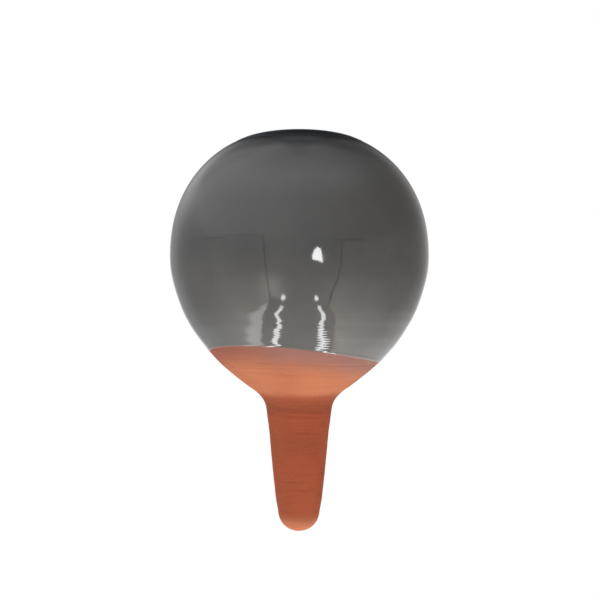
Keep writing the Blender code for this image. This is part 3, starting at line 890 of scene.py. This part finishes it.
def table_boards(finish):
    """What lies on the table in front of the ball: a grey runner whose sides draw in towards the ball, and
    left of it a white board that starts as a point and fades out on its far side. Each goes forwards by rows
    and sideways from one edge to the other, and fades out behind.
    """
    forward, across = np.meshgrid(np.linspace(-0.66, 0.38, 53), np.linspace(-1, 1, 13), indexing="ij")
    left = np.interp(forward, [-0.6, -0.42, -0.32, -0.25, -0.18, -0.10, 0.0],
                     [0.325, 0.312, 0.290, 0.275, 0.248, 0.244, 0.246])
    right = np.interp(forward, [-0.6, -0.42, -0.27, -0.18, -0.10, 0.0],
                      [0.303, 0.295, 0.268, 0.230, 0.206, 0.215])
    edge = np.where(across < 0, left, right)
    points = joined(edge * across, forward, TABLE_HEIGHT + 0.001)
    lit_surface("runner_on_the_table", points, finish,
                np.interp(forward, [-0.55, -0.42, -0.30, -0.05], [1.34, 1.45, 1.55, 1.70]),
                window(forward, -0.66, -0.60) * window(-forward, -0.36, -0.02), 0.6)
    forward, across = np.meshgrid(np.linspace(-0.53, 0.20, 44), np.linspace(0, 1, 13), indexing="ij")
    inner = np.interp(forward, [-0.53, -0.42, -0.32, -0.25, -0.18, -0.10, 0.0],
                      [0.325, 0.312, 0.290, 0.275, 0.247, 0.243, 0.244])
    width = np.interp(forward, [-0.53, -0.47, -0.37, -0.25, -0.20, -0.12, 0.0],
                      [0.0, 0.075, 0.110, 0.170, 0.150, 0.145, 0.110])
    points = joined(-inner - width * across, forward, TABLE_HEIGHT + 0.0015)
    lit_surface("white_board_on_the_table", points, finish, BOARD_BRIGHTNESS,
                (1 - window(across, 0.4, 1.0)) * window(-forward, -0.18, 0), 0.3)


def light_strips(finish):
    """Two bright strips that lie bent on the table on both sides of the ball and fade out behind. Each is a
    band along a smoothed line through its places: place forwards, distance from the middle, width.
    """
    lines = {
        "light_strip_left": (-1, [
            (-0.535, 0.168, 0.028), (-0.50, 0.175, 0.032), (-0.44, 0.184, 0.032), (-0.365, 0.187, 0.032),
            (-0.33, 0.160, 0.032), (-0.305, 0.141, 0.034), (-0.25, 0.138, 0.034), (-0.21, 0.146, 0.034),
            (-0.15, 0.152, 0.032), (-0.08, 0.160, 0.032), (0.02, 0.165, 0.032), (0.14, 0.168, 0.028)]),
        "light_strip_right": (1, [
            (-0.535, 0.190, 0.028), (-0.50, 0.193, 0.032), (-0.44, 0.195, 0.032), (-0.36, 0.187, 0.034),
            (-0.315, 0.180, 0.034), (-0.295, 0.160, 0.036), (-0.27, 0.146, 0.038), (-0.20, 0.137, 0.042),
            (-0.10, 0.142, 0.042), (0.02, 0.155, 0.042), (0.14, 0.165, 0.034)]),
    }
    for name, (sign, line) in lines.items():
        forward, aside, width = np.array(line).T
        even = np.linspace(forward[0], forward[-1], 240)
        middle = np.interp(even, forward, aside)
        middle = np.convolve(np.pad(middle, 2, mode="edge"), np.ones(5) / 5, mode="valid")
        across = np.interp(even, forward, width)[:, None] * np.linspace(-0.5, 0.5, 3)
        points = joined(sign * (middle[:, None] + across), even[:, None], TABLE_HEIGHT + STRIP_LIFT)
        lit_surface(name, points, finish, STRIP_BRIGHTNESS, window(-points[..., 1], -0.13, -0.01))


def window_pane(finish):
    """Bright window behind the camera on its right: a leaf-shaped outline filled from its middle."""
    outline = np.array([(0.398, 0.219), (0.48, 0.172), (0.516, -0.004), (0.528, -0.18), (0.41, -0.11),
                        (0.28, -0.075), (0.28, 0.031), (0.327, 0.16), (0.398, 0.219)])
    share = np.linspace(0, 1, 4)[:, None, None]
    flat = outline[:-1].mean(axis=0) * (1 - share) + outline * share
    points = joined(flat[..., 0], -WINDOW_DISTANCE, flat[..., 1])
    lit_surface("window_pane", points, finish, WINDOW_BRIGHTNESS)


def lamp(name, place, aim, size, brightness, glossy=False, shape="RECTANGLE"):
    """Flat lamp whose face has this brightness, where 1 is white: power = brightness * pi * area."""
    data = bpy.data.lights.new(name, "AREA")
    data.shape, data.size, data.size_y = shape, *size
    data.energy = brightness * math.pi * size[0] * size[1] * (math.pi / 4 if shape == "ELLIPSE" else 1)
    item = bpy.data.objects.new(name, data)
    item.location = place
    item.rotation_euler = (Vector(aim) - Vector(place)).to_track_quat("-Z", "Y").to_euler()
    item.visible_camera, item.visible_glossy = False, glossy
    bpy.context.scene.collection.objects.link(item)


def seen_directly(tree):
    """1 for rays that show a white background, from the camera, a reflection or glass, and 0 for others."""
    path = add(tree, "LightPath")
    seen = path["Is Camera Ray"]
    for ray in ("Is Glossy Ray", "Is Transmission Ray"):
        seen = add(tree, "Math", {0: seen, 1: path[ray]}, operation="MAXIMUM")[0]
    return seen


def white_surroundings():
    """World that is white to look at and lights the object by 0.12 of white."""
    world = bpy.data.worlds.new("white_studio")
    bpy.context.scene.world = world
    world.use_nodes = True
    tree = world.node_tree
    level = add(tree, "MapRange", {"Value": seen_directly(tree), "To Min": 0.12, "To Max": 1.0})
    tree.links.new(level["Result"], tree.nodes["Background"].inputs["Strength"])
    tree.nodes["Background"].inputs["Color"].default_value = (1, 1, 1, 1)


def lamps():
    """Glowing table, two strips on it with round ends, the window, and soft fills on three sides."""
    strip, middle, low = TABLE_HEIGHT + STRIP_LIFT, tuple(BALL_CENTRE), (0, 0, 0.04)
    lamp("table_glow", (0, -0.15, TABLE_HEIGHT), (0, -0.15, 1), (1.5, 1.4), 1.20)
    for name, x, y in (("strip_left", -0.165, -0.26), ("strip_right", 0.165, -0.25)):
        lamp(name, (x, y, strip), (x, y, 1), (0.032, 0.45), STRIP_BRIGHTNESS)
    for name, x, y in (("strip_end_left", -0.181, -0.651), ("strip_end_right", 0.187, -0.644)):
        lamp(name, (x, y, strip), (x, y, 1), (0.045, 0.06), 16, glossy=True, shape="ELLIPSE")
    lamp("window", (0.43, -WINDOW_DISTANCE, 0.02), middle, (0.17, 0.36), 20, shape="ELLIPSE")
    lamp("front_fill", (0, -1.5, 0.0), low, (1.8, 1.2), 0.15)
    lamp("left_fill", (-1.3, -0.2, 0.1), low, (1.2, 1.2), 0.74)
    lamp("right_fill", (1.3, -0.2, 0.1), low, (1.2, 1.2), 0.60)


def pale_floor():
    """Matt pale floor that takes shadows, white to look at away from the object, and clear from below."""
    made, tree, shader = blank("pale_floor")
    shader.inputs["Base Color"].default_value = linear("#f4f4f2")
    shader.inputs["Roughness"].default_value = 0.9
    place = add(tree, "TexCoord")["Object"]
    flat = add(tree, "VectorMath", {0: place, 1: (1, 1, 0)}, operation="MULTIPLY")[0]
    away = add(tree, "VectorMath", {0: flat}, operation="LENGTH")["Value"]
    bright = add(tree, "MapRange", {"Value": away, "From Min": 0.3, "From Max": 1.2, "To Min": 0.6,
                                    "To Max": 1.0}, interpolation_type="SMOOTHSTEP")["Result"]
    share = add(tree, "Math", {0: seen_directly(tree), 1: bright}, operation="MULTIPLY")[0]
    glow = add(tree, "Emission")[0]
    top = add(tree, "MixShader", {0: share, 1: shader.outputs[0], 2: glow})[0]
    clear = add(tree, "BsdfTransparent")[0]
    below = add(tree, "NewGeometry")["Backfacing"]
    mix = add(tree, "MixShader", {0: below, 1: top, 2: clear})[0]
    tree.links.new(mix, tree.nodes["Material Output"].inputs["Surface"])
    across, along = np.meshgrid(np.linspace(-2.5, 2.5, 3), np.linspace(-2.5, 2.5, 3))
    stage_surface("floor", joined(across, along, FLOOR_HEIGHT), made,
                  ("camera", "diffuse", "transmission", "shadow"))


def studio():
    """White surroundings, all that the glaze reflects, the lamps and the pale floor."""
    white_surroundings()
    lit = glowing("lit_cloth_and_boards")
    for build in (studio_cloth, screens, table_boards, light_strips, window_pane):
        build(lit)
    lamps()
    pale_floor()


def photographer():
    """Camera level with the ball's lower half, 0.7 m away, so that 600 pixels span 348 mm at the axis; it
    leans by an eighth of a degree, as the photograph does.
    """
    distance, across, lean = 0.70, 0.348, math.radians(0.13)
    data = bpy.data.cameras.new("photographer")
    data.sensor_width = 36.0
    data.lens = 36.0 * distance / across
    data.clip_start, data.clip_end = 0.05, 50.0
    item = bpy.data.objects.new("photographer", data)
    item.location = (0.0004, -distance, 0.0568)
    item.rotation_euler = (math.pi / 2, -lean, 0)
    bpy.context.scene.collection.objects.link(item)
    bpy.context.scene.camera = item


clay, glaze = terracotta(), dark_glaze()
clay_vessel(clay)
glaze_coat(glaze)
lid_clay(clay)
lid_glaze(glaze)
studio()
photographer()
bpy.context.scene.view_settings.view_transform = "Standard"

bpy.context.view_layer.update()
